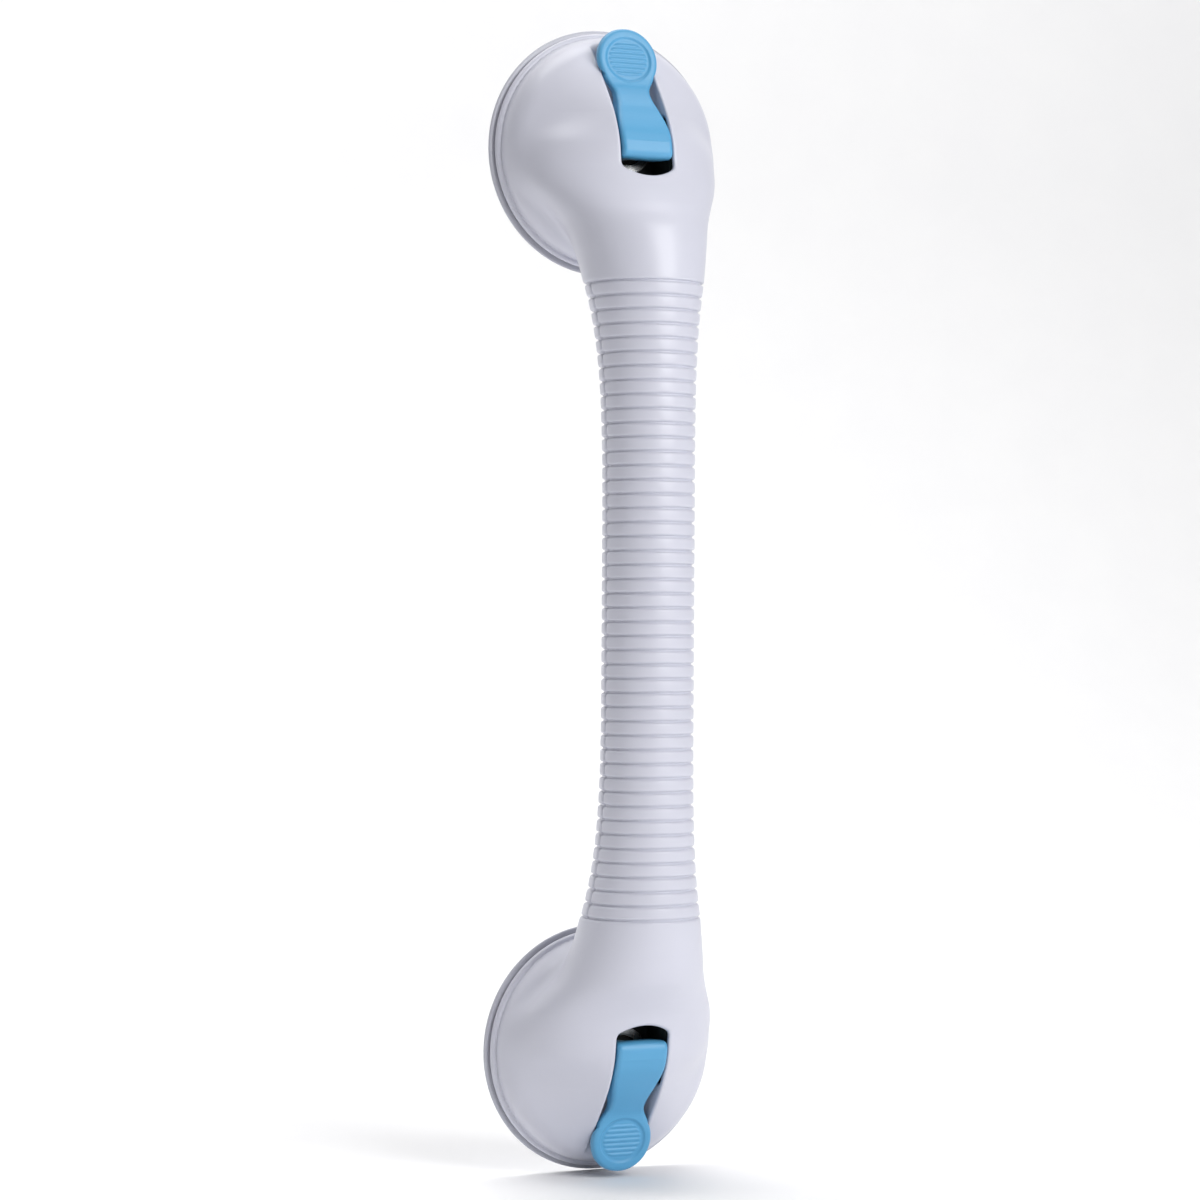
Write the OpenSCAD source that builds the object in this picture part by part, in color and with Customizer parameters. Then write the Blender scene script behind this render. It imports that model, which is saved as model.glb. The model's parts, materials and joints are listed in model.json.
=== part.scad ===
// Suction grab bar: a ribbed grip between two dome housings, each with a suction cup and a cam lever.
// Frame: +Z runs up the bar, the wall is the plane y = 0 and the bar stands out of it towards -Y.
// The origin is the centre of the lower cup's sealing face. Millimetres.

/* [Overall] */
// Distance between the centres of the two suction cups
cup_pitch = 365; // [350:1:420]
// Outer radius of a suction cup
cup_r = 50; // [49:0.5:52]

/* [Grip] */
// Distance of the grip's axis from the wall, half-way along
grip_mid_h = 47.7; // [46:0.1:50]
// How much nearer to the wall the grip's axis is at its ends
grip_drop = 5.5; // [4:0.1:6]
// Radius of the grip half-way along
grip_mid_r = 18.35; // [18:0.05:19]
// How much thicker the grip is at its ends
grip_flare = 5.5; // [5:0.05:6]
// Number of raised bands
band_count = 45; // [30:1:50]
// Length of the grip between its end grooves
grip_len = 251; // [248:1:254]
// Width of a groove
groove_w = 0.9; // [0.6:0.1:1.4]
// Depth of a groove
groove_d = 0.7; // [0.4:0.1:1]
// Wall thickness of the grip shells
grip_wall = 3; // [2.6:0.1:3.2]

/* [Housing] */
// Wall thickness of a housing
wall = 2.8; // [2.4:0.1:3]
// Width of the lever slot
slot_w = 22.7; // [22.5:0.1:23]
// Radius of the housing's dome
dome_r = 47; // [46.5:0.1:47.4]

/* [Lever] */
// Distance of the lever pin from the wall while locked
pin_h = 36; // [36:0.1:36.4]
// Radius of the lever pin
pin_r = 2; // [1.8:0.1:2.2]
// Width of the lever's root
root_w = 21.6; // [21:0.1:21.8]
// Radius of the finger pad
pad_r = 13; // [12.5:0.1:13.2]
// Angle that the lever opens through
lever_open = 80; // [70:1:84]
// How far the lever draws the cup's centre off the wall
stroke = 3; // [2:0.1:3]
// Distance from pin to washer while locked
cam_r = 10.5; // [10.4:0.1:10.6]
// Gap between cam and washer
cam_gap = 0.25; // [0.1:0.05:0.3]

/* [Mechanism] */
// Radius of the plunger's shaft
shaft_r = 7; // [6.9:0.05:7]
// Radial gap round the plunger's shaft
shaft_gap = 0.08; // [0.04:0.01:0.1]
// Outer radius of the core tube
tube_r = 10; // [9.5:0.1:10]
// Wall thickness of the core tube
tube_wall = 1.5; // [1:0.1:2]
// Turns of the return spring
spring_turns = 3; // [2:0.5:4]
// Wire diameter of the return spring
spring_wire = 1.4; // [1:0.1:1.5]

/* [Hidden] */

body_grey = "#c9c9d6";
lever_blue = "#68b0da";
dark = "#2c3436";
cup_grey = "#a9abb6";
steel = "#b8babd";
$fn = 72;

// Grip
band_p = grip_len / band_count;
band_lap = 0.1;
grip_end = grip_len / 2;
// How far the grip has changed towards its ends. It goes in steps, so that neighbouring bands are
// in line or clearly apart.
flare_steps = 40;
function flare_at(z) = round(flare_steps * pow(abs(z) / grip_end, 4)) / flare_steps;
function grip_h(z) = grip_mid_h - grip_drop * flare_at(z);
function grip_r(z) = grip_mid_r + grip_flare * pow(flare_at(z), 1.25);
tube_h = 45;
tube_len = cup_pitch - 60;
screw_z = [-120, -60, 0, 60, 120];
screw_r = 1.95;
screw_hole_r = 2.2;
head_r = 3.6;
head_t = 1.8;
rib_z = [-90, -30, 30, 90];
rib_t = 2;
rib_depth = 0.5;

// Housing: distances u run outwards from the cup's axis, away from the grip
neck_u = grip_end - cup_pitch / 2;
rim_h = 2;
bead_r = 1.5;
bead_h = 3.4;
slot_in = -14;
slot_out = 14;
slot_round = 20;
recess_out = 48;
recess_h = 25.5;
recess_slope = 0.38;
under_recess = recess_h - wall - 0.3;
boss_circle = 34;
boss_r = 3.6;
// Heights that the screw bosses rise to, outer pair and pair under the neck
boss_tops = [18.5, 18.5, 41.5, 41.5];
boss_pilot_top = 15;
plate_t = 2.6;
plate_h = 2;
// Dome outline as radius and height
DOME = [[0, 45.5], [6, 45], [12, 42.3], [18, 38], [24, 32.9], [30, 27.4], [36, 21.8], [41, 17], [44.5, 12.8],
    [46.3, 8.5]];
// Neck stations as u, height of the centre, half-width and half-height
NECK = [[neck_u, 42.2, 23.85, 23.85], [-42.5, 38.3, 26.6, 26.2], [-31.5, 32.5, 30, 28.5],
    [-24.5, 26, 34.6, 29.6], [-17.5, 19, 39.3, 31.8], [-10.5, 13, 42, 34.8],
    [0, 6, 42.5, 39], [12, 2, 36, 36]];
spigot_r = 18.6;
spigot_h = 43.6;
spigot_l = 11;
socket_gap = 0.05;
seat_gap = 0.05;

// Plunger, guide block and washer
washer_h = pin_h - cam_r;
washer_t = 1.5;
washer_r = 10.9;
floor_t = 3;
floor_h = washer_h - washer_t - floor_t;
flange_r = 16;
flange_h = 7.7;
flange_t = 3;
head_w = 9;
head_round = 5;
stem_half = 3.6;
fork_gap = 0.4;
blade_h = washer_h - 1.6;
skirt_r = 21.5;
skirt_t = 3;
hub_h = 12.2;
spring_r = 10;
spring_low = flange_h + flange_t + 0.1;
spring_high = floor_h - 0.1;

// Lever
root_in = -4;
root_h = 6.6;
nose_r = 4;
// The root ends in a flat arc in plan
root_arc = 70;
cam_drop = stroke / (lever_open * PI / 180);
function cam_reach(a) = cam_r - cam_gap - stroke * (270 - a) / lever_open;
function cam_point(a) = cam_reach(a) * [cos(a), sin(a)] + cam_drop * [-sin(a), cos(a)];
pad_u = 34.8;
pad_gap = 0.5;

// Stands a module drawn with the wall as its floor on the wall plane, at either end of the bar
module at_upper() {
    translate([0, 0, cup_pitch])
        rotate([90, 0, 0])
            children();
}

module at_lower() {
    mirror([0, 0, 1])
        rotate([90, 0, 0])
            children();
}

// A bar along u at height h
module along_u(u, h, length, r) {
    translate([0, u, h])
        rotate([-90, 0, 0])
            cylinder(h = length, r = r);
}

// Side outline in u and height, drawn width wide across x
module across_x(width) {
    rotate([90, 0, 90])
        translate([0, 0, -width / 2])
            linear_extrude(width)
                children();
}

// Skin through the neck's stations, thinned by inset
module neck_loft(inset) {
    n = 28;
    rings = len(NECK);
    start = inset > 0 ? 1 : 0;
    points = [
        for (s = NECK)
            for (i = [0 : n - 1])
                [(s[2] - inset) * cos(360 * i / n),
                    s[0] - (s == NECK[0] ? start : 0),
                    s[1] + (s[3] - inset) * sin(360 * i / n)]
    ];
    sides = [
        for (k = [0 : rings - 2])
            for (i = [0 : n - 1])
                [k * n + i, k * n + (i + 1) % n, (k + 1) * n + (i + 1) % n, (k + 1) * n + i]
    ];
    near_cap = [for (i = [0 : n - 1]) n - 1 - i];
    far_cap = [for (i = [0 : n - 1]) (rings - 1) * n + i];
    polyhedron(points, concat(sides, [near_cap, far_cap]), convexity = 4);
}

module dome(inset) {
    rotate_extrude()
        polygon(concat(
            [[0, rim_h - inset]],
            [for (p = DOME) [max(p[0] - inset * pow(p[0] / dome_r, 2), 0), p[1] - inset]],
            [[dome_r - inset, rim_h - inset]]));
}

// Plan of the slot: straight sides and a rounded end towards the grip
module slot_plan() {
    intersection() {
        translate([-slot_w / 2, slot_in])
            square([slot_w, slot_out - slot_in]);
        union() {
            translate([0, slot_in + slot_round])
                circle(slot_round);
            translate([-slot_w / 2, 0])
                square([slot_w, slot_out]);
        }
    }
}

module slot_cut() {
    translate([0, 0, floor_h])
        linear_extrude(60)
            slot_plan();
    across_x(slot_w)
        polygon([[slot_out - 1, recess_h], [slot_out - 1, 60], [recess_out, 60],
            [recess_out, recess_h - recess_slope * (recess_out - slot_out)]]);
}

module recess_floor() {
    across_x(slot_w + 2 * wall)
        polygon([[slot_out - wall, recess_h - wall], [slot_out - wall, recess_h + 4],
            [recess_out - 6, recess_h + 4],
            [recess_out - 6, recess_h - wall - recess_slope * (recess_out - 6 - slot_out)],
            [slot_out, recess_h - wall]]);
}

// The four screw places of a base plate, numbered in $boss
module boss_places() {
    for ($boss = [0 : 3])
        rotate(45 + 90 * $boss)
            translate([boss_circle, 0, 0])
                children();
}

module housing() {
    color(body_grey)
        difference() {
            union() {
                difference() {
                    union() {
                        dome(0);
                        neck_loft(0);
                        rotate_extrude()
                            translate([dome_r - 0.1, bead_h])
                                circle(bead_r);
                    }
                    dome(wall);
                    neck_loft(wall);
                    translate([0, 0, -1])
                        cylinder(h = plate_h + plate_t + seat_gap + 1, r = dome_r - 1.2);
                    translate([-80, -80, -80])
                        cube([160, 160, 80 + rim_h]);
                }
                intersection() {
                    dome(0);
                    recess_floor();
                }
                along_u(-40, 37, 3, 25.2);
                along_u(neck_u, NECK[0][1], 3, NECK[0][2] - wall + 0.6);
                along_u(neck_u - spigot_l, spigot_h, spigot_l + 1, spigot_r);
                boss_places()
                    translate([0, 0, plate_h + plate_t + seat_gap])
                        cylinder(h = boss_tops[$boss] - plate_h - plate_t - seat_gap, r = boss_r);
            }
            slot_cut();
            along_u(neck_u - 20, tube_h, 20 + tube_len / 2 - grip_end, tube_r + socket_gap);
            boss_places()
                cylinder(h = boss_pilot_top, r = 1.5);
            translate([0, screw_z[4] - cup_pitch / 2, 0]) {
                cylinder(h = tube_h, r = screw_hole_r);
                cylinder(h = 80, r = screw_r + 0.05);
            }
        }
}

module base_plate() {
    color(body_grey)
        difference() {
            rotate_extrude()
                polygon([[dome_r - 1.4, plate_h], [32.5, plate_h], [18.9, 9.6], [18.9, hub_h], [23, hub_h],
                    [boss_circle - boss_r - 0.5, plate_h + plate_t], [dome_r - 1.4, plate_h + plate_t]]);
            boss_places()
                cylinder(h = 20, r = screw_r + 0.1);
            boss_places()
                translate([0, 0, plate_h - 0.1])
                    cylinder(h = 1.3, r = 3.1);
        }
}

module base_screws() {
    color(steel)
        boss_places() {
            translate([0, 0, plate_h + 0.1])
                cylinder(h = 1.1, r = 3);
            translate([0, 0, plate_h + 0.1])
                cylinder(h = 11, r = 1.45);
        }
}

module suction_cup() {
    color(cup_grey)
        rotate_extrude()
            polygon([[0, 4.6], [14, 4.6], [24, 2.4], [30, 0], [cup_r, 0], [cup_r, 0.9], [cup_r - 0.6, 1.5],
                [dome_r - 1.2, 1.8], [dome_r - 1.4, plate_h], [30.3, plate_h], [24, 4.6], [17.6, 8.2],
                [17.6, 12.6], [12.2, 12.6], [12.2, 10.9], [16.2, 10.9], [16.2, 7.5], [0, 7.5]]);
}

module plunger() {
    color(dark)
        difference() {
            union() {
                translate([0, 0, flange_h])
                    cylinder(h = flange_t, r = flange_r);
                translate([0, 0, flange_h])
                    cylinder(h = blade_h - flange_h, r = shaft_r);
                translate([-head_w / 2, -stem_half, blade_h - 1])
                    cube([head_w, 2 * stem_half, pin_h - blade_h + 1]);
                across_x(head_w)
                    translate([0, pin_h])
                        circle(head_round);
            }
            across_x(head_w + 2)
                translate([0, pin_h])
                    circle(pin_r + 0.01);
        }
}

module return_spring() {
    n = 8;
    steps = 24 * spring_turns;
    rise = spring_high - spring_low - spring_wire;
    points = [
        for (k = [0 : steps])
            let (a = 360 * spring_turns * k / steps, h = spring_low + spring_wire / 2 + rise * k / steps)
                for (i = [0 : n - 1])
                    let (d = spring_r + spring_wire / 2 * cos(360 * i / n))
                        [d * cos(a), d * sin(a), h + spring_wire / 2 * sin(360 * i / n)]
    ];
    sides = [
        for (k = [0 : steps - 1])
            for (i = [0 : n - 1])
                [k * n + i, k * n + (i + 1) % n, (k + 1) * n + (i + 1) % n, (k + 1) * n + i]
    ];
    near_cap = [for (i = [0 : n - 1]) n - 1 - i];
    far_cap = [for (i = [0 : n - 1]) steps * n + i];
    color(steel)
        polyhedron(points, concat(sides, [near_cap, far_cap]), convexity = 8);
}

module guide_block() {
    color(dark)
        difference() {
            union() {
                translate([0, 0, hub_h])
                    cylinder(h = floor_h + floor_t - hub_h, r = skirt_r);
                across_x(2 * 13.2)
                    polygon([[-17, floor_h], [-17, 44.5], [11, 33], [11, floor_h]]);
            }
            translate([0, 0, hub_h - 1])
                difference() {
                    cylinder(h = floor_h - hub_h + 1, r = spring_r + 3);
                    cylinder(h = floor_h - hub_h + 1, r = shaft_r + 1.9);
                }
            translate([0, 0, hub_h - 1])
                cylinder(h = 3, r = skirt_r - skirt_t);
            translate([-11.5, -15, floor_h + floor_t])
                cube([23, 30, 40]);
            cylinder(h = 40, r = shaft_r + shaft_gap);
            across_x(slot_w + 2 * wall + 0.6)
                polygon([[slot_out - wall - 0.1, 40], [slot_out - wall - 0.1, under_recess],
                    [slot_out, under_recess], [slot_out + 10, under_recess - 10 * recess_slope],
                    [slot_out + 10, 40]]);
        }
}

module thrust_washer() {
    color(steel)
        translate([0, 0, washer_h - washer_t])
            difference() {
                cylinder(h = washer_t, r = washer_r);
                translate([0, 0, -1])
                    cylinder(h = washer_t + 2, r = shaft_r + 0.5);
            }
}

// Side outline of the lever about its pin
module lever_side() {
    polygon(concat(
        [for (k = [0 : 10]) cam_point(270 - lever_open * (1 - k / 10))],
        [[3.5, cam_gap - cam_r], [8, -8.5], [17.5, -8.2], [24, -11.3], [48.2, -16.2], [48.2, -12.3],
            [23.5, -7], [17.5, -2], [12, 2.4], [4.5, 7.5], [0, 9.8]],
        [for (a = [70 : 10 : 180]) [root_in + nose_r * cos(a), root_h + nose_r * sin(a)]]));
}

// Room round the pin for the plunger's head and stem, through the whole swing
module fork_space() {
    circle(head_round + fork_gap);
    for (a = [0, lever_open])
        rotate(-a)
            translate([-stem_half - fork_gap, -20])
                square([2 * (stem_half + fork_gap), 20]);
    polygon([[0, 0], [0, -20], 28 * [-sin(lever_open / 2), -cos(lever_open / 2)],
        20 * [-sin(lever_open), -cos(lever_open)]]);
}

module lever_plan() {
    intersection() {
        polygon([[-root_w / 2, -12], [root_w / 2, -12], [root_w / 2, 6], [9.3, 13], [7.9, 19], [8.6, 24.5],
            [-8.6, 24.5], [-7.9, 19], [-9.3, 13], [-root_w / 2, 6]]);
        translate([0, root_in - nose_r + root_arc])
            circle(root_arc);
    }
    translate([0, pad_u])
        circle(pad_r);
}

module lever() {
    color(lever_blue)
        difference() {
            intersection() {
                across_x(2 * pad_r + 2)
                    translate([0, pin_h])
                        lever_side();
                linear_extrude(80)
                    lever_plan();
            }
            across_x(head_w + 2 * fork_gap)
                translate([0, pin_h])
                    fork_space();
            // The pad's wings stand clear of the dome on both sides of the slot
            difference() {
                dome(-pad_gap);
                translate([-root_w / 2 - 0.1, -60, -1])
                    cube([root_w + 0.2, 120, 60]);
            }
            across_x(root_w + 2)
                translate([0, pin_h])
                    circle(pin_r + 0.05);
        }
}

module lever_pin() {
    color(steel)
        across_x(root_w - 0.8)
            translate([0, pin_h])
                circle(pin_r);
}

// Centre of the grip, where z runs along the bar
module at_grip() {
    translate([0, 0, cup_pitch / 2])
        children();
}

// Half of one band: a ring with a groove at each end
module half_band(z, turn) {
    r = grip_r(z);
    inner = r - grip_wall;
    g = groove_w / 2;
    top = z + band_p > grip_end ? band_p : band_p + band_lap;
    translate([0, -grip_h(z), z - band_p / 2])
        rotate(turn)
            rotate_extrude(angle = 180)
                polygon([[inner, 0], [r - groove_d, 0], [r - groove_d, g], [r, g], [r, band_p - g],
                    [r - groove_d, band_p - g], [r - groove_d, top], [inner, top]]);
}

module half_rib(z, turn) {
    translate([0, -grip_h(z), z - rib_t / 2])
        rotate(turn)
            rotate_extrude(angle = 180)
                square([grip_r(z) - grip_wall + rib_depth, rib_t]);
}

// A grip half: bands and ribs on one side of the parting plane
module grip_half(turn) {
    for (i = [0 : band_count - 1])
        half_band((i + 0.5) * band_p - grip_end, turn);
    for (z = rib_z)
        half_rib(z, turn);
}

module tube_space() {
    translate([0, -tube_h, -grip_end - 10])
        cylinder(h = grip_len + 20, r = tube_r + socket_gap);
}

// Outwards from the wall at a screw's place, from height h
module screw_axis(z, h) {
    translate([0, -h, z])
        rotate([90, 0, 0])
            children();
}

function back_h(z) = grip_h(z) - grip_r(z);
function screw_l(z) = (abs(z) > 100 ? 40 : 30) - 2;

module grip_front_shell() {
    color(body_grey)
        at_grip()
            difference() {
                union() {
                    grip_half(180);
                    for (z = [-60, 0, 60])
                        screw_axis(z, 52)
                            cylinder(h = grip_h(z) + grip_r(z) - 53.5, r = 4.5);
                }
                tube_space();
                for (z = screw_z)
                    screw_axis(z, 40)
                        cylinder(h = back_h(z) + head_t + screw_l(z) - 39.5, r = screw_r + 0.05);
            }
}

module grip_back_shell() {
    color(body_grey)
        at_grip()
            difference() {
                union() {
                    grip_half(0);
                    for (z = [-60, 0, 60])
                        screw_axis(z, back_h(z) + 1.5)
                            cylinder(h = 7, r = 5.5);
                }
                tube_space();
                for (z = screw_z) {
                    screw_axis(z, 0)
                        cylinder(h = 60, r = screw_hole_r);
                    screw_axis(z, 0)
                        cylinder(h = back_h(z) + head_t, r = head_r + 0.3);
                }
            }
}

module core_tube() {
    color(steel)
        at_grip()
            difference() {
                translate([0, -tube_h, -tube_len / 2])
                    difference() {
                        cylinder(h = tube_len, r = tube_r);
                        translate([0, 0, -1])
                            cylinder(h = tube_len + 2, r = tube_r - tube_wall);
                    }
                for (z = screw_z)
                    screw_axis(z, 20)
                        cylinder(h = 50, r = screw_hole_r);
            }
}

module grip_screws() {
    color(steel)
        at_grip()
            for (z = screw_z)
                screw_axis(z, back_h(z)) {
                    cylinder(h = head_t, r = head_r);
                    cylinder(h = head_t + screw_l(z), r = screw_r);
                }
}

at_upper() housing();  // upper_housing
at_lower() housing();  // lower_housing
grip_front_shell();
grip_back_shell();
core_tube();
grip_screws();
at_upper() base_plate();  // upper_base_plate
at_lower() base_plate();  // lower_base_plate
at_upper() base_screws();  // upper_base_screws
at_lower() base_screws();  // lower_base_screws
at_upper() suction_cup();  // upper_suction_cup
at_lower() suction_cup();  // lower_suction_cup
at_upper() plunger();  // upper_plunger
at_lower() plunger();  // lower_plunger
at_upper() return_spring();  // upper_return_spring
at_lower() return_spring();  // lower_return_spring
at_upper() guide_block();  // upper_guide_block
at_lower() guide_block();  // lower_guide_block
at_upper() thrust_washer();  // upper_thrust_washer
at_lower() thrust_washer();  // lower_thrust_washer
at_upper() lever();  // upper_lever
at_lower() lever();  // lower_lever
at_upper() lever_pin();  // upper_lever_pin
at_lower() lever_pin();  // lower_lever_pin
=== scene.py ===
"""Looks of a suction grab bar: a banded grip between two dome housings, each with a cup and a cam lever."""
import json
import math

import bmesh
import bpy
import numpy as np
from bpy.props import FloatProperty, FloatVectorProperty, IntProperty, PointerProperty
from mathutils import Matrix, Vector


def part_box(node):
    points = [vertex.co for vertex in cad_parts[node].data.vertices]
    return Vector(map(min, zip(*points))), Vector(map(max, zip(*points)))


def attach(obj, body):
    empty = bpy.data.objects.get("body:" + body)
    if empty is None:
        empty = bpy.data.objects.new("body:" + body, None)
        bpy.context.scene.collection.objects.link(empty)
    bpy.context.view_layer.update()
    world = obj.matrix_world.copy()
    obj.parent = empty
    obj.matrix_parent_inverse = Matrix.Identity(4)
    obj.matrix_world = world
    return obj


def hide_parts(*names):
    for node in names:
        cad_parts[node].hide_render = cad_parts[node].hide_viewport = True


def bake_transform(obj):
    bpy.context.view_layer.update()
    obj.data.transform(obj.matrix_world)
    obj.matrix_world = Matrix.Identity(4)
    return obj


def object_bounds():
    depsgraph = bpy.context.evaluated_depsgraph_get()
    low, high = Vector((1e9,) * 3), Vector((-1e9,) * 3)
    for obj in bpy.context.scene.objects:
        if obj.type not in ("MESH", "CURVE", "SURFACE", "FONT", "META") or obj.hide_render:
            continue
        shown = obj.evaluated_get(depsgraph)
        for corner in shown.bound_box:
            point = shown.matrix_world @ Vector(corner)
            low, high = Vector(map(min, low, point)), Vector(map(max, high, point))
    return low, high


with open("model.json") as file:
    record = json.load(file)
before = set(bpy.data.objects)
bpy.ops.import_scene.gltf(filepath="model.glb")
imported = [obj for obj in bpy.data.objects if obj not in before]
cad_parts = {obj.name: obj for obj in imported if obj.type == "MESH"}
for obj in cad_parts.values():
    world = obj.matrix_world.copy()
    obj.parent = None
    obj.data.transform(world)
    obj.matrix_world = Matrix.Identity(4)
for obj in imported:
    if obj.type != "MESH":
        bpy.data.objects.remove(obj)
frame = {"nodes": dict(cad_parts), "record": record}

bl_info = {
    "name": "Suction grab bar",
    "version": (1, 0, 0),
    "blender": (4, 5, 0),
    "location": "3D View > Sidebar > Grab bar",
    "description": "Builds the pieces, finishes and stage of a suction grab bar around its packed part",
    "category": "Object",
}

MM = 0.001
CAD_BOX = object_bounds()
MOUNTS = {m["name"]: m for m in frame["record"]["mounts"]}
PITCH = MOUNTS["upper_suction_face"]["pos_m"][2]
MIDDLE = PITCH / 2
ENDS = ("upper", "lower")
BODY = "bar"
# Height of the lever pins off the wall, and how far the grip's end grooves are from its middle
PIN_H = -sum(p.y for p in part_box("upper_lever_pin")) / 2
GRIP_END = (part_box("grip_front_shell")[1].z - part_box("grip_front_shell")[0].z) / 2
NECK_U = GRIP_END - MIDDLE


def linear(hex_colour):
    """An sRGB hex colour as the linear red, green, blue and alpha that sockets take."""
    parts = [int(hex_colour[i : i + 2], 16) / 255 for i in (1, 3, 5)]
    return tuple(p / 12.92 if p <= 0.04045 else ((p + 0.055) / 1.055) ** 2.4 for p in parts) + (1.0,)


# ---------------------------------------------------------------- sizes and colours

class GripSizes(bpy.types.PropertyGroup):
    """Sizes of the banded grip"""

    bands: IntProperty(name="Bands", description="Number of raised bands along the grip", default=45, min=10)
    middle_height: FloatProperty(
        name="Middle height", description="Distance of the grip's axis from the wall, half-way along",
        default=47.7 * MM, subtype="DISTANCE", unit="LENGTH")
    drop: FloatProperty(
        name="Drop", description="How much nearer to the wall the axis is at the grip's ends",
        default=5.5 * MM, subtype="DISTANCE", unit="LENGTH")
    middle_radius: FloatProperty(
        name="Middle radius", description="Radius of the grip half-way along",
        default=18.35 * MM, subtype="DISTANCE", unit="LENGTH")
    flare: FloatProperty(
        name="Flare", description="How much thicker the grip is at its ends",
        default=5.5 * MM, subtype="DISTANCE", unit="LENGTH")
    groove_width: FloatProperty(
        name="Groove width", description="Width of the groove between two bands",
        default=1.05 * MM, subtype="DISTANCE", unit="LENGTH")
    groove_depth: FloatProperty(
        name="Groove depth", description="Depth of the groove between two bands",
        default=0.95 * MM, subtype="DISTANCE", unit="LENGTH")
    crown: FloatProperty(
        name="Crown", description="How far a band's middle stands above its edges",
        default=0.16 * MM, subtype="DISTANCE", unit="LENGTH")
    wall: FloatProperty(
        name="Wall", description="Wall thickness of a shell",
        default=3 * MM, subtype="DISTANCE", unit="LENGTH")


class HousingSizes(bpy.types.PropertyGroup):
    """Sizes of an end housing"""

    wall: FloatProperty(
        name="Wall", description="Wall thickness of the moulding",
        default=2.8 * MM, subtype="DISTANCE", unit="LENGTH")
    slot_width: FloatProperty(
        name="Slot width", description="Width of the lever's slot",
        default=22.7 * MM, subtype="DISTANCE", unit="LENGTH")
    edge: FloatProperty(
        name="Edge rounding", description="Rounding of the slot's edge",
        default=1.5 * MM, subtype="DISTANCE", unit="LENGTH")
    join: FloatProperty(
        name="Join rounding", description="Rounding where the neck leaves the dome",
        default=5 * MM, subtype="DISTANCE", unit="LENGTH")
    bead_radius: FloatProperty(
        name="Bead radius", description="Radius of the bead round the dome's rim",
        default=1.55 * MM, subtype="DISTANCE", unit="LENGTH")


class LeverSizes(bpy.types.PropertyGroup):
    """Sizes of a cam lever"""

    edge: FloatProperty(
        name="Edge rounding", description="Rounding of the lever's long edges",
        default=1.9 * MM, subtype="DISTANCE", unit="LENGTH")
    recess: FloatProperty(
        name="Recess", description="Depth of the finger recess",
        default=0.7 * MM, subtype="DISTANCE", unit="LENGTH")
    ridge_pitch: FloatProperty(
        name="Ridge pitch", description="Distance between two ridges in the recess",
        default=1.95 * MM, subtype="DISTANCE", unit="LENGTH")
    ridge_height: FloatProperty(
        name="Ridge height", description="Height of a ridge",
        default=0.45 * MM, subtype="DISTANCE", unit="LENGTH")


class FinishColours(bpy.types.PropertyGroup):
    """Colours of the visible finishes"""

    body: FloatVectorProperty(
        name="Body", description="Colour of the housings and grip", subtype="COLOR", size=4,
        default=linear("#CBCCD8"), min=0, max=1)
    lever: FloatVectorProperty(
        name="Levers", description="Colour of the levers", subtype="COLOR", size=4,
        default=linear("#559FCB"), min=0, max=1)
    cup: FloatVectorProperty(
        name="Cups", description="Colour of the suction cups", subtype="COLOR", size=4,
        default=linear("#B9BAC4"), min=0, max=1)


# ---------------------------------------------------------------- building tools

def node(tree, kind, inputs=(), out=0, **settings):
    """Adds a node, sets its settings, links or sets its inputs, and gives back one of its outputs."""
    made = tree.nodes.new(kind)
    for name, value in settings.items():
        setattr(made, name, value)
    for key, value in inputs.items() if isinstance(inputs, dict) else enumerate(inputs):
        if isinstance(value, bpy.types.NodeSocket):
            tree.links.new(value, made.inputs[key])
        else:
            made.inputs[key].default_value = value
    return made.outputs[out] if len(made.outputs) else made


def new_piece(name, mesh, material, smooth_angle=None):
    """Puts a mesh in the scene as a piece with one material."""
    piece = bpy.data.objects.new(name, mesh)
    bpy.context.scene.collection.objects.link(piece)
    mesh.materials.clear()
    mesh.materials.append(material)
    mesh.polygons.foreach_set("use_smooth", np.ones(len(mesh.polygons), bool))
    if smooth_angle is not None:
        mesh.set_sharp_from_angle(angle=smooth_angle)
    return piece


def mesh_of(name, points, faces, normals=None):
    mesh = bpy.data.meshes.new(name)
    mesh.from_pydata(points.tolist(), [], faces.tolist() if hasattr(faces, "tolist") else faces)
    mesh.update()
    if normals is not None:
        mesh.polygons.foreach_set("use_smooth", np.ones(len(mesh.polygons), bool))
        mesh.normals_split_custom_set_from_vertices(normals.tolist())
    return mesh


def settle_normals(mesh, merge=0.0):
    """Merges doubles and turns a closed shape's faces outwards."""
    shape = bmesh.new()
    shape.from_mesh(mesh)
    if merge:
        bmesh.ops.remove_doubles(shape, verts=shape.verts, dist=merge)
    bmesh.ops.recalc_face_normals(shape, faces=shape.faces)
    shape.to_mesh(mesh)
    shape.free()
    mesh.update()


def grown_mesh(name, tree, values, source=None):
    """The plain mesh that a Geometry Nodes tree grows from named input values."""
    holder = bpy.data.objects.new(name, source or bpy.data.meshes.new(name + "_seed"))
    bpy.context.scene.collection.objects.link(holder)
    modifier = holder.modifiers.new(name, "NODES")
    modifier.node_group = tree
    for item in tree.interface.items_tree:
        if item.item_type == "SOCKET" and item.in_out == "INPUT" and item.name in values:
            modifier[item.identifier] = values[item.name]
    ready = bpy.context.evaluated_depsgraph_get()
    mesh = bpy.data.meshes.new_from_object(holder.evaluated_get(ready))
    holder.modifiers.remove(modifier)
    bpy.data.objects.remove(holder)
    if not mesh.polygons:
        raise RuntimeError(f"{name}: the node tree gave no faces")
    return mesh


def on_end(end, points):
    """Points drawn as across, outwards from the cup's axis and off the wall, put at one end of the bar."""
    x, u, h = points[:, 0], points[:, 1], points[:, 2]
    return np.stack([x, -h, PITCH + u if end == "upper" else -u], 1)


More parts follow.
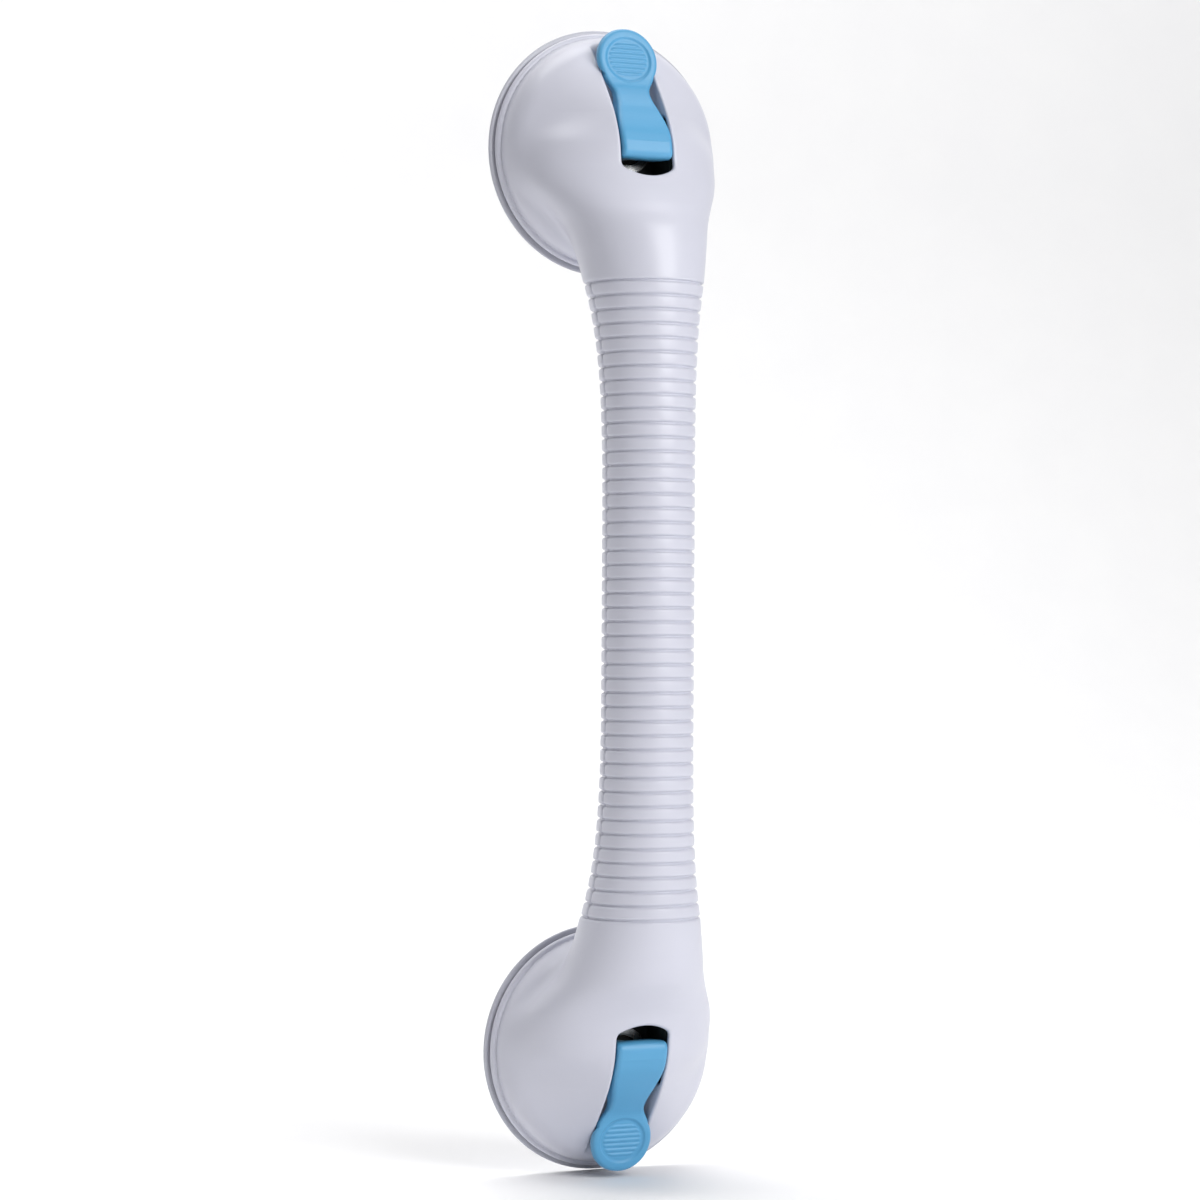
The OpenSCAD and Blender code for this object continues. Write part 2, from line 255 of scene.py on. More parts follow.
def turn_to_end(end, directions):
    outwards = directions[:, 1] * (1 if end == "upper" else -1)
    return np.stack([directions[:, 0], -directions[:, 2], outwards], 1)


def smooth_max(a, b, k):
    """The larger of two fields, rounded over a width k where they are nearly equal."""
    near = np.maximum(k - np.abs(a - b), 0) / k
    return np.maximum(a, b) + near * near * k / 4


def smooth_min(a, b, k):
    return -smooth_max(-a, -b, k)


def through(stations, at):
    """Smooth curves through rows of stations: the first column is where, each other one is a value."""
    where, values = stations[:, 0], stations[:, 1:]
    slopes = np.gradient(values, where, axis=0)
    at = np.clip(at, where[0], where[-1])
    i = np.clip(np.searchsorted(where, at) - 1, 0, len(where) - 2)
    gap = where[i + 1] - where[i]
    t = ((at - where[i]) / gap)[:, None]
    gap = gap[:, None]
    start = (1 + 2 * t) * (1 - t) ** 2 * values[i] + t * (1 - t) ** 2 * gap * slopes[i]
    stop = t * t * (3 - 2 * t) * values[i + 1] + t * t * (t - 1) * gap * slopes[i + 1]
    return (start + stop).T


def outline_distance(outline, a, b):
    """Signed distance from points to a closed outline, negative inside."""
    nearest = np.full(a.shape, np.inf)
    inside = np.zeros(a.shape, bool)
    for (ax, ay), (bx, by) in zip(outline, np.roll(outline, -1, axis=0)):
        ex, ey = bx - ax, by - ay
        px, py = a - ax, b - ay
        t = np.clip((px * ex + py * ey) / (ex * ex + ey * ey), 0, 1)
        nearest = np.minimum(nearest, (px - ex * t) ** 2 + (py - ey * t) ** 2)
        if ey:
            crosses = (ay > b) != (by > b)
            inside ^= crosses & (px < ex * py / ey)
    return np.sqrt(nearest) * np.where(inside, -1, 1)


def gradient(field, points):
    reach = 0.03 * MM
    parts = []
    for axis in np.eye(3):
        parts.append((field(points + reach * axis) - field(points - reach * axis)) / (2 * reach))
    return np.stack(parts, 1)


def skin_of(field, low, high, step):
    """Closed quad skin of where a field is zero: a point in each crossed cell, drawn onto the surface."""
    lines = [np.arange(a, b + step, step) for a, b in zip(low, high)]
    grid = np.stack(np.meshgrid(*lines, indexing="ij"), -1)
    value = field(grid.reshape(-1, 3)).reshape(grid.shape[:3])
    cells = np.array(value.shape) - 1
    total = np.zeros((*cells, 3))
    count = np.zeros(cells)
    edges = []
    for axis in range(3):
        first = np.moveaxis(value, axis, 0)[:-1]
        last = np.moveaxis(value, axis, 0)[1:]
        crossed = (first < 0) != (last < 0)
        share = np.where(crossed, first / np.where(crossed, first - last, 1), 0)
        place = np.moveaxis(grid, axis, 0)[:-1].copy()
        place[..., axis] += share * step
        place *= crossed[..., None]
        sums = np.moveaxis(total, axis, 0)
        counts = np.moveaxis(count, axis, 0)
        for i in (0, 1):
            for j in (0, 1):
                part = (slice(None), slice(i, i + sums.shape[1]), slice(j, j + sums.shape[2]))
                sums += place[part]
                counts += crossed[part]
        edges.append((crossed, first < 0))
    used = count > 0
    number = np.full(cells, -1)
    number[used] = np.arange(used.sum())
    points = total[used] / count[used][:, None]
    faces = []
    for axis, (crossed, outwards) in enumerate(edges):
        numbers = np.moveaxis(number, axis, 0)
        found = np.argwhere(crossed[:, 1:-1, 1:-1]) + (0, 1, 1)
        i, j, k = found.T
        quads = np.stack(
            [numbers[i, j - 1, k - 1], numbers[i, j, k - 1], numbers[i, j, k], numbers[i, j - 1, k]], 1)
        turned = outwards[i, j, k] != (axis == 1)
        faces.append(np.where(turned[:, None], quads, quads[:, ::-1]))
    for _ in range(4):
        slope = gradient(field, points)
        move = slope * (field(points) / np.maximum((slope ** 2).sum(1), 0.2))[:, None]
        length = np.linalg.norm(move, axis=1, keepdims=True)
        points -= move * np.minimum(1, 0.5 * step / np.maximum(length, 1e-9))
    normals = gradient(field, points)
    normals /= np.maximum(np.linalg.norm(normals, axis=1, keepdims=True), 1e-9)
    return points, np.vstack(faces), normals


def skinned_end_mesh(name, end, skin):
    """A skin drawn off the wall, as a mesh at one end of the bar. The lower end is a mirror image."""
    points, faces, normals = skin
    if end == "lower":
        faces = faces[:, ::-1]
    return mesh_of(name, on_end(end, points), faces, turn_to_end(end, normals))


def rounded_outline(outline, radius, steps=4):
    """An open outline with each corner between its ends turned into a short curve."""
    corners = [np.array(p, float) for p in outline]
    done = [corners[0]]
    for before, corner, after in zip(corners, corners[1:], corners[2:]):
        reach = [min(radius, 0.45 * np.linalg.norm(p - corner)) for p in (before, after)]
        start = corner + (before - corner) * reach[0] / np.linalg.norm(before - corner)
        stop = corner + (after - corner) * reach[1] / np.linalg.norm(after - corner)
        for t in np.linspace(0, 1, steps):
            done.append((1 - t) ** 2 * start + 2 * t * (1 - t) * corner + t * t * stop)
    done.append(corners[-1])
    return np.array(done)


def turned_skin(outline, segments):
    """A lathe shape from an outline of radius and height that starts and ends on the axis."""
    angles = 2 * math.pi * np.arange(segments) / segments
    rings = outline[1:-1]
    points = [(0, 0, outline[0][1])]
    for radius, height in rings:
        points += [(radius * math.cos(a), radius * math.sin(a), height) for a in angles]
    points.append((0, 0, outline[-1][1]))
    faces = []
    last = len(points) - 1
    for s in range(segments):
        t = (s + 1) % segments
        faces.append((0, 1 + t, 1 + s))
        faces.append((last, last - segments + s, last - segments + t))
        for ring in range(len(rings) - 1):
            a, b = 1 + ring * segments, 1 + (ring + 1) * segments
            faces.append((a + s, a + t, b + t, b + s))
    return np.array(points), faces


# ---------------------------------------------------------------- finishes

def new_finish(name):
    """A material with its shader and the coordinates of the object it is on."""
    material = bpy.data.materials.new(name)
    material.use_nodes = True
    tree = material.node_tree
    shader = next(n for n in tree.nodes if n.type == "BSDF_PRINCIPLED")
    place = node(tree, "ShaderNodeTexCoord", out="Object")
    return material, tree, shader, place


def vary_colour(tree, shader, pattern, low, high):
    """Runs the base colour from one colour to another as a pattern goes from 0 to 1."""
    mix = node(
        tree, "ShaderNodeMix", {"Factor": pattern, "A": low, "B": high}, out="Result", data_type="RGBA")
    tree.links.new(mix, shader.inputs["Base Color"])


def shade(colour, factor):
    return tuple(c * factor for c in colour[:3]) + (1.0,)


def moulded_abs(name, colour, roughness):
    """ABS, injection moulded in a finely spark-eroded tool: an even colour under a soft satin gloss."""
    material, tree, shader, place = new_finish(name)
    shader.inputs["IOR"].default_value = 1.54
    # Flow of the melt, tens of millimetres wide, is just seen as a slow change of tone
    flow = node(tree, "ShaderNodeTexNoise", {"Vector": place, "Scale": 1 / (28 * MM), "Detail": 2.0})
    vary_colour(tree, shader, flow, shade(colour, 0.975), shade(colour, 1.025))
    # The tool's erosion is about 0.2 mm across, drawn at 0.7 mm so that it shows
    grain = node(tree, "ShaderNodeTexNoise", {"Vector": place, "Scale": 1 / (0.7 * MM), "Detail": 3.0})
    gloss = node(
        tree, "ShaderNodeMapRange",
        {"Value": grain, "From Min": 0.3, "From Max": 0.7,
         "To Min": roughness - 0.04, "To Max": roughness + 0.05})
    tree.links.new(gloss, shader.inputs["Roughness"])
    bump = node(tree, "ShaderNodeBump", {"Height": grain, "Strength": 0.1, "Distance": 0.05 * MM})
    tree.links.new(bump, shader.inputs["Normal"])
    return material


def soft_pvc(name, colour):
    """Plasticised PVC, compression moulded and glossy: slightly cloudy, with a wet-looking shine."""
    material, tree, shader, place = new_finish(name)
    shader.inputs["IOR"].default_value = 1.52
    shader.inputs["Subsurface Weight"].default_value = 0.15
    shader.inputs["Subsurface Radius"].default_value = (1.0, 1.0, 1.0)
    shader.inputs["Subsurface Scale"].default_value = 1.5 * MM
    cloud = node(tree, "ShaderNodeTexNoise", {"Vector": place, "Scale": 1 / (12 * MM), "Detail": 4.0})
    vary_colour(tree, shader, cloud, shade(colour, 0.93), shade(colour, 1.06))
    smear = node(tree, "ShaderNodeTexNoise", {"Vector": place, "Scale": 1 / (4 * MM), "Detail": 3.0})
    gloss = node(tree, "ShaderNodeMapRange", {"Value": smear, "To Min": 0.2, "To Max": 0.42})
    tree.links.new(gloss, shader.inputs["Roughness"])
    bump = node(tree, "ShaderNodeBump", {"Height": smear, "Strength": 0.12, "Distance": 0.1 * MM})
    tree.links.new(bump, shader.inputs["Normal"])
    return material


def black_acetal():
    """Acetal, injection moulded: slippery near-black, with a dull sheen and faint rubbed marks."""
    material, tree, shader, place = new_finish("acetal moulded black")
    shader.inputs["IOR"].default_value = 1.48
    rub = node(tree, "ShaderNodeTexNoise", {"Vector": place, "Scale": 1 / (1.5 * MM), "Detail": 5.0})
    vary_colour(tree, shader, rub, linear("#1E2527"), linear("#333D3F"))
    gloss = node(tree, "ShaderNodeMapRange", {"Value": rub, "To Min": 0.32, "To Max": 0.52})
    tree.links.new(gloss, shader.inputs["Roughness"])
    bump = node(tree, "ShaderNodeBump", {"Height": rub, "Strength": 0.15, "Distance": 0.05 * MM})
    tree.links.new(bump, shader.inputs["Normal"])
    return material


def plated_metal(name, low, high, roughness, patch):
    """Rolled or drawn metal under a thin bright coat: a cloudy tone with fine drawn marks."""
    material, tree, shader, place = new_finish(name)
    shader.inputs["Metallic"].default_value = 1.0
    cloud = node(tree, "ShaderNodeTexNoise", {"Vector": place, "Scale": 1 / patch, "Detail": 5.0})
    vary_colour(tree, shader, cloud, linear(low), linear(high))
    # Drawn marks about 0.15 mm apart lie along the bar
    across = 1 / (0.15 * MM)
    stretch = node(tree, "ShaderNodeMapping", {"Vector": place, "Scale": (across, across, 40.0)})
    marks = node(tree, "ShaderNodeTexNoise", {"Vector": stretch, "Scale": 1.0, "Detail": 2.0})
    gloss = node(
        tree, "ShaderNodeMapRange", {"Value": marks, "To Min": roughness - 0.07, "To Max": roughness + 0.12})
    tree.links.new(gloss, shader.inputs["Roughness"])
    bump = node(tree, "ShaderNodeBump", {"Height": marks, "Strength": 0.1, "Distance": 0.02 * MM})
    tree.links.new(bump, shader.inputs["Normal"])
    return material


FINISHES = {}


def make_finishes(colours):
    """The object's finishes under the material slots that they belong to."""
    body = tuple(colours.body)
    FINISHES["housing_abs"] = moulded_abs("ABS moulded satin lavender grey housing", body, 0.36)
    FINISHES["grip_abs"] = moulded_abs("ABS moulded satin lavender grey grip", body, 0.34)
    FINISHES["lever_abs"] = moulded_abs("ABS moulded satin sky blue", tuple(colours.lever), 0.42)
    FINISHES["cup_rubber"] = soft_pvc("PVC plasticised moulded glossy grey", tuple(colours.cup))
    FINISHES["black_acetal"] = black_acetal()
    FINISHES["zinc_steel"] = plated_metal("steel zinc plated bright", "#A9ABB0", "#C6C8CB", 0.3, 3 * MM)
    FINISHES["stainless_steel"] = plated_metal(
        "stainless steel drawn ground", "#B4B5B6", "#CBCCCD", 0.22, 6 * MM)
    FINISHES["spring_steel"] = plated_metal("spring steel hard drawn", "#8E8F92", "#A8A9AB", 0.28, 2 * MM)
    FINISHES["tube_aluminium"] = plated_metal("aluminium drawn tube", "#B9BBBE", "#D0D1D3", 0.35, 8 * MM)


# ---------------------------------------------------------------- housings

RIM_H = 2 * MM
DOME_R = 46.2 * MM
DOME_TOP = 45.5 * MM
# The dome's flank is a cone that falls 0.9 for each 1 outwards, from where it would meet the axis
FLANK_FALL = 0.9
FLANK_TOP = 54.2 * MM
BEAD_RING = 46.7 * MM
BEAD_H = 3.4 * MM
# Along the neck: outwards from the cup's axis, centre off the wall, half-width, half-height
NECK = MM * np.array([
    [NECK_U / MM, 42.2, 23.85, 23.85], [-42.5, 38.3, 26.6, 26.2], [-31.5, 32.5, 30, 28.5],
    [-24.5, 26, 34.6, 29.6], [-17.5, 19, 39.3, 31.8], [-10.5, 13, 42, 34.8], [0, 6, 42.5, 39], [12, 2, 36, 36]])
SLOT_IN, SLOT_OUT, SLOT_ROUND = -14 * MM, 14 * MM, 20 * MM
RECESS_H, RECESS_FALL = 25.5 * MM, 0.38
DEEP_FLOOR = 19.5 * MM
BOSS_PLACE = 34 * MM * math.sqrt(0.5)
TUBE_H = 45 * MM


def bar_along(x, h, radius, height):
    """Distance from a round bar that runs along the neck at a height off the wall."""
    return np.hypot(x, h - height) - radius


def dome_field(x, u, h):
    out = np.hypot(x, u)
    flank = (h + FLANK_FALL * out - FLANK_TOP) / math.hypot(1, FLANK_FALL)
    top = smooth_max(h - DOME_TOP, flank, 7 * MM)
    return smooth_max(top, out - DOME_R, 6.4 * MM)


def neck_field(x, u, h):
    centre, half_width, half_height = through(NECK, u)
    across, up = x / half_width, (h - centre) / half_height
    near = np.hypot(across, up)
    steep = np.maximum(np.hypot(across / half_width, up / half_height), 1e-6)
    return near * (near - 1) / steep


def slot_field(x, u, h, width):
    """The lever's slot: deep and round-ended towards the neck, then a falling recess to the rim."""
    side = np.abs(x) - width / 2
    round_end = np.hypot(x, u - SLOT_IN - SLOT_ROUND) - SLOT_ROUND
    plan = smooth_max(side, np.where(u < 0, round_end, SLOT_IN - u), 1.5 * MM)
    recess = RECESS_H - RECESS_FALL * (u - SLOT_OUT)
    floor = np.where(u < SLOT_OUT, DEEP_FLOOR - 10 * MM, recess)
    return smooth_max(plan, floor - h, 1 * MM)


def housing_field(sizes):
    """Field of a whole housing in the end's own axes: negative in the plastic, zero at its skin."""
    wall, width = sizes.wall, sizes.slot_width

    def field(points):
        x, u, h = points.T
        out = np.hypot(x, u)
        neck_end = NECK_U + 0.45 * MM - u
        neck = smooth_max(neck_field(x, u, h), u - 13 * MM, 14 * MM)
        outer = smooth_min(dome_field(x, u, h), neck, sizes.join)
        closed = smooth_max(outer, neck_end, 0.9 * MM)
        solid = np.maximum(closed, -(outer + wall))
        # What is inside stops short of the outer skin, so that it does not show there
        within = outer + 1.2 * MM
        end_plate = np.maximum(np.maximum(within, neck_end), u - NECK_U - 3.5 * MM)
        liner_floor = RECESS_H - wall - RECESS_FALL * (u - SLOT_OUT)
        liner = np.maximum(np.abs(x) - width / 2 - wall, np.maximum(SLOT_OUT - wall - u, liner_floor - h))
        liner = np.maximum(np.maximum(liner, within), u - 45.5 * MM)
        boss = np.hypot(np.abs(x) - BOSS_PLACE, np.abs(u) - BOSS_PLACE)
        bosses = np.maximum(np.maximum(boss - 3.6 * MM, 4.6 * MM - h), within)
        spigot = np.maximum(bar_along(x, h, 18.6 * MM, 43.6 * MM), np.abs(u - NECK_U + 5 * MM) - 6 * MM)
        solid = smooth_min(solid, np.minimum(np.minimum(end_plate, liner), bosses), 0.8 * MM)
        solid = np.minimum(solid, spigot)
        bead = np.hypot(out - BEAD_RING, h - BEAD_H) - sizes.bead_radius
        solid = smooth_min(solid, np.maximum(bead, 45.8 * MM - out), 0.3 * MM)
        solid = smooth_max(solid, -slot_field(x, u, h, width), sizes.edge)
        bore = np.maximum(bar_along(x, h, 10.05 * MM, TUBE_H), u - NECK_U - 25.5 * MM)
        seat = np.maximum(out - 45.8 * MM, h - 4.6 * MM)
        pilots = np.maximum(boss - 1.5 * MM, h - 15 * MM)
        solid = np.maximum(np.maximum(solid, -bore), np.maximum(-seat, -pilots))
        return smooth_max(solid, RIM_H - h, 0.5 * MM)

    return field


# ---------------------------------------------------------------- grip

ROWS_PER_BAND = 14
OUTER_COLUMNS = 49
INNER_COLUMNS = 17
PARTING_GAP = 0.06 * MM


def grip_tree():
    """Node tree of half the grip: one grid, wrapped round a flaring axis, makes both skins and the edges."""
    tree = bpy.data.node_groups.new("Banded grip half", "GeometryNodeTree")
    wanted = ["Length", "Bands", "Middle radius", "Flare", "Middle height", "Drop", "Groove width",
              "Groove depth", "Crown", "Wall", "Side", "Centre", "Parting gap"]
    tree.interface.new_socket("Geometry", in_out="INPUT", socket_type="NodeSocketGeometry")
    for name in wanted:
        kind = "NodeSocketInt" if name == "Bands" else "NodeSocketFloat"
        tree.interface.new_socket(name, in_out="INPUT", socket_type=kind)
    tree.interface.new_socket("Finish", in_out="INPUT", socket_type="NodeSocketMaterial")
    tree.interface.new_socket("Geometry", in_out="OUTPUT", socket_type="NodeSocketGeometry")
    given = tree.nodes.new("NodeGroupInput").outputs
    math_node = "ShaderNodeMath"
    turn = 2 * math.pi
    loop = OUTER_COLUMNS + INNER_COLUMNS

    main_rows = node(tree, math_node, (given["Bands"], ROWS_PER_BAND), operation="MULTIPLY")
    rows = node(tree, math_node, (main_rows, 5), operation="ADD")
    grid = node(tree, "GeometryNodeMeshGrid", {"Vertices X": rows, "Vertices Y": loop + 1})
    index = node(tree, "GeometryNodeInputIndex")
    line = node(tree, math_node, (index, loop + 1), operation="DIVIDE")
    line = node(tree, math_node, (line,), operation="FLOOR")
    column = node(tree, math_node, (index, loop + 1), operation="MODULO")
    column = node(tree, math_node, (column, loop), operation="MODULO")

    # Round the grip: angle runs out along the outer skin and back along the inner one
    outside = node(tree, math_node, (column, OUTER_COLUMNS - 0.5), operation="LESS_THAN")
    share_out = node(tree, math_node, (column, OUTER_COLUMNS - 1), operation="DIVIDE")
    share_in = node(tree, math_node, (loop - 1, column), operation="SUBTRACT")
    share_in = node(tree, math_node, (share_in, INNER_COLUMNS - 1), operation="DIVIDE")
    share = node(tree, "GeometryNodeSwitch", {"Switch": outside, "False": share_in, "True": share_out},
                 input_type="FLOAT")
    ripple = node(tree, math_node, (share, turn), operation="MULTIPLY")
    ripple = node(tree, math_node, (ripple,), operation="SINE")
    bunched = node(tree, math_node, (ripple, -0.8 / turn, share), operation="MULTIPLY_ADD")
    angle = node(tree, math_node, (bunched, math.pi), operation="MULTIPLY")

    # Along the grip: rows crowd together at each groove, and one row past each end makes the end tongue
    count = node(tree, math_node, (line, 2), operation="SUBTRACT")
    kept = node(tree, "ShaderNodeClamp", {"Value": count, "Min": 0.0, "Max": main_rows})
    beyond = node(tree, math_node, (count, kept), operation="SUBTRACT")
    beyond = node(tree, "ShaderNodeClamp", {"Value": beyond, "Min": -1.0, "Max": 1.0})
    band = node(tree, math_node, (kept, ROWS_PER_BAND), operation="DIVIDE")
    whole = node(tree, math_node, (band,), operation="FLOOR")
    part = node(tree, math_node, (band, whole), operation="SUBTRACT")
    wave = node(tree, math_node, (part, turn), operation="MULTIPLY")
    wave = node(tree, math_node, (wave,), operation="SINE")
    part = node(tree, math_node, (wave, -0.7 / turn, part), operation="MULTIPLY_ADD")
    pitch = node(tree, math_node, (given["Length"], given["Bands"]), operation="DIVIDE")
    half_length = node(tree, math_node, (given["Length"], 0.5), operation="MULTIPLY")
    along = node(tree, math_node, (whole, part), operation="ADD")
    along = node(tree, math_node, (along, pitch), operation="MULTIPLY")
    along = node(tree, math_node, (along, half_length), operation="SUBTRACT")
    half_groove = node(tree, math_node, (given["Groove width"], 0.5), operation="MULTIPLY")
    tongue = node(tree, math_node, (beyond, half_groove, along), operation="MULTIPLY_ADD")

    # Axis and radius follow even powers of the distance from the middle
    reach = node(tree, math_node, (along, half_length), operation="DIVIDE")
    reach = node(tree, math_node, (reach,), operation="ABSOLUTE")
    bend = node(tree, math_node, (reach, 4), operation="POWER")
    flare = node(tree, math_node, (reach, 5), operation="POWER")
    fall = node(tree, math_node, (bend, given["Drop"]), operation="MULTIPLY")
    axis_height = node(tree, math_node, (given["Middle height"], fall), operation="SUBTRACT")
    radius = node(tree, math_node, (flare, given["Flare"], given["Middle radius"]), operation="MULTIPLY_ADD")

    # Distance from the groove, drawn in near the parting line so that band corners are rounded
    other_way = node(tree, math_node, (1.0, part), operation="SUBTRACT")
    from_groove = node(tree, math_node, (part, other_way), operation="MINIMUM")
    from_groove = node(tree, math_node, (from_groove, pitch), operation="MULTIPLY")
    far_angle = node(tree, math_node, (math.pi, angle), operation="SUBTRACT")
    from_parting = node(tree, math_node, (angle, far_angle), operation="MINIMUM")
    from_parting = node(tree, math_node, (from_parting, radius), operation="MULTIPLY")
    corner = node(tree, "ShaderNodeMapRange", {
        "Value": from_parting, "From Min": 0.0, "From Max": 1.5 * MM, "To Min": 1.0, "To Max": 0.0})
    corner = node(tree, math_node, (corner, 2), operation="POWER")
    drawn = node(tree, math_node, (corner, -0.7 * MM, from_groove), operation="MULTIPLY_ADD")
    low_edge = node(tree, math_node, (half_groove, 0.2 * MM), operation="SUBTRACT")
    high_edge = node(tree, math_node, (half_groove, 0.22 * MM), operation="ADD")
    raised = node(tree, "ShaderNodeMapRange", {
        "Value": drawn, "From Min": low_edge, "From Max": high_edge, "To Min": -1.0, "To Max": 0.0},
        interpolation_type="SMOOTHSTEP")
    dip = node(tree, math_node, (raised, given["Groove depth"]), operation="MULTIPLY")
    off_middle = node(tree, math_node, (from_groove, pitch), operation="DIVIDE")
    off_middle = node(tree, math_node, (off_middle, -2, 1), operation="MULTIPLY_ADD")
    off_middle = node(tree, math_node, (off_middle, 2), operation="POWER")
    crown = node(tree, math_node, (off_middle, given["Crown"]), operation="MULTIPLY")
    lip = node(tree, math_node, (corner, -0.55 * MM), operation="MULTIPLY")
    outer = node(tree, math_node, (radius, dip), operation="ADD")
    outer = node(tree, math_node, (outer, crown), operation="SUBTRACT")
    outer = node(tree, math_node, (outer, lip), operation="ADD")
    inner = node(tree, math_node, (radius, given["Wall"]), operation="SUBTRACT")

    # The first and last rows close the shell's ends
    last_row = node(tree, math_node, (main_rows, 1.5), operation="ADD")
    is_start = node(tree, math_node, (count, -1.5), operation="LESS_THAN")
    is_stop = node(tree, math_node, (count, last_row), operation="GREATER_THAN")
    is_end = node(tree, math_node, (is_start, is_stop), operation="ADD")
    is_skin = node(tree, math_node, (outside, is_end), operation="GREATER_THAN")
    size = node(
        tree, "GeometryNodeSwitch", {"Switch": is_skin, "False": inner, "True": outer}, input_type="FLOAT")

    cosine = node(tree, math_node, (angle,), operation="COSINE")
    sine = node(tree, math_node, (angle,), operation="SINE")
    x = node(tree, math_node, (size, cosine), operation="MULTIPLY")
    bulge = node(tree, math_node, (size, sine, given["Parting gap"]), operation="MULTIPLY_ADD")
    height = node(tree, math_node, (bulge, given["Side"], axis_height), operation="MULTIPLY_ADD")
    y = node(tree, math_node, (height, -1), operation="MULTIPLY")
    z = node(tree, math_node, (tongue, given["Centre"]), operation="ADD")
    place = node(tree, "ShaderNodeCombineXYZ", (x, y, z))
    wrapped = node(tree, "GeometryNodeSetPosition", {"Geometry": grid, "Position": place})
    joined = node(tree, "GeometryNodeMergeByDistance", {"Geometry": wrapped, "Distance": 0.004 * MM})
    plain = node(tree, "GeometryNodeRealizeInstances", {"Geometry": joined})
    finished = node(tree, "GeometryNodeSetMaterial", {"Geometry": plain, "Material": given["Finish"]})
    node(tree, "NodeGroupOutput", (finished,))
    return tree


SCREW_Z = [z * MM for z in (-120, -60, 0, 60, 120)]


def grip_axis(sizes, z):
    return sizes.middle_height - sizes.drop * (abs(z) / GRIP_END) ** 4


def grip_radius(sizes, z):
    return sizes.middle_radius + sizes.flare * (abs(z) / GRIP_END) ** 5


def back_of_grip(sizes, z):
    return grip_axis(sizes, z) - grip_radius(sizes, z)


def cut_screw_holes(mesh, sizes):
    """Sinks a stepped screw hole into the back shell at each screw."""
    piece = bpy.data.objects.new("shell", mesh)
    bpy.context.scene.collection.objects.link(piece)
    cutters = bmesh.new()
    for z in SCREW_Z:
        back = back_of_grip(sizes, z)
        seat = back + 1.8 * MM
        outline = np.array([
            [0, back - 6 * MM], [3.9 * MM, back - 6 * MM], [3.9 * MM, seat], [2.2 * MM, seat],
            [2.2 * MM, back + 9 * MM], [0, back + 9 * MM]])
        points, faces = turned_skin(outline, 48)
        points = np.stack([points[:, 0], -points[:, 2], MIDDLE + z + points[:, 1]], 1)
        cutters.from_mesh(mesh_of("cutter", points, faces))
    bmesh.ops.recalc_face_normals(cutters, faces=cutters.faces)
    tool_mesh = bpy.data.meshes.new("cutters")
    cutters.to_mesh(tool_mesh)
    cutters.free()
    tool = bpy.data.objects.new("cutters", tool_mesh)
    bpy.context.scene.collection.objects.link(tool)
    modifier = piece.modifiers.new("screw holes", "BOOLEAN")
    modifier.object = tool
    modifier.operation = "DIFFERENCE"
    modifier.solver = "EXACT"
    ready = bpy.context.evaluated_depsgraph_get()
    cut = bpy.data.meshes.new_from_object(piece.evaluated_get(ready))
    bpy.data.objects.remove(piece)
    bpy.data.objects.remove(tool)
    return cut


# ---------------------------------------------------------------- levers

ROOT_HALF = 10.8 * MM
PAD_U, PAD_R = 34.8 * MM, 13 * MM
# The lever opens through 80 degrees: its nose would meet the thrust washer a few degrees further on
CAM_R, CAM_GAP, STROKE, OPEN_DEGREES = 10.5 * MM, 0.25 * MM, 3 * MM, 80
OPEN = math.radians(OPEN_DEGREES)
NOSE = (-4 * MM, 6.6 * MM, 4 * MM)
# The root ends in a flat arc in plan
ROOT_ARC = 70 * MM
# Room for the plunger's head and for its stem through the whole swing, along and above the pin
FORK_HALF, HEAD_ROOM, STEM_ROOM = 4.9 * MM, 5.4 * MM, 4 * MM
REACH = 20 * MM
FORK = np.array([
    [STEM_ROOM, 0], [STEM_ROOM, -REACH], [-REACH, -REACH],
    [-REACH * math.sin(OPEN) - STEM_ROOM * math.cos(OPEN),
     -REACH * math.cos(OPEN) + STEM_ROOM * math.sin(OPEN)],
    [-STEM_ROOM * math.cos(OPEN), STEM_ROOM * math.sin(OPEN)]])
# Along the lever from its pin: half-width
SHANK = MM * np.array([
    [-14, 10.8], [-4, 10.8], [5, 10.75], [9, 10.2], [13, 9.2], [17, 8.15], [20.5, 7.85], [26, 8.9]])
# Top and underside of the lever in its locked place, along and above its pin
TOP = MM * np.array([
    [0, 9.8], [4.5, 7.8], [8.3, 5.2], [12, 2.4], [15, 0.2], [18, -2.3], [20.8, -4.6], [23.6, -6.6],
    [27, -7.8]])
TOP_END = (48.2 * MM, -12.3 * MM)
UNDERSIDE = MM * np.array([[3.5, -10.25], [8, -8.5], [17.5, -8.2], [24, -11.3], [48.2, -16.2]])


def lever_side():
    """Side outline of the lever: its cam draws the plunger back by an even amount for each degree."""
    drop = STROKE / OPEN
    outline = []
    for degrees in range(270 - OPEN_DEGREES, 271, 5):
        a = math.radians(degrees)
        reach = CAM_R - CAM_GAP - STROKE * (math.radians(270) - a) / OPEN
        outline.append((reach * math.cos(a) - drop * math.sin(a), reach * math.sin(a) + drop * math.cos(a)))
    outline += [tuple(p) for p in UNDERSIDE]
    outline.append(TOP_END)
    across = np.linspace(TOP[-1, 0], TOP[0, 0], 28)
    outline += list(zip(across, through(TOP, across)[0]))
    for degrees in range(75, 180, 10):
        a = math.radians(degrees)
        outline.append((NOSE[0] + NOSE[2] * math.cos(a), NOSE[1] + NOSE[2] * math.sin(a)))
    return np.array(outline)


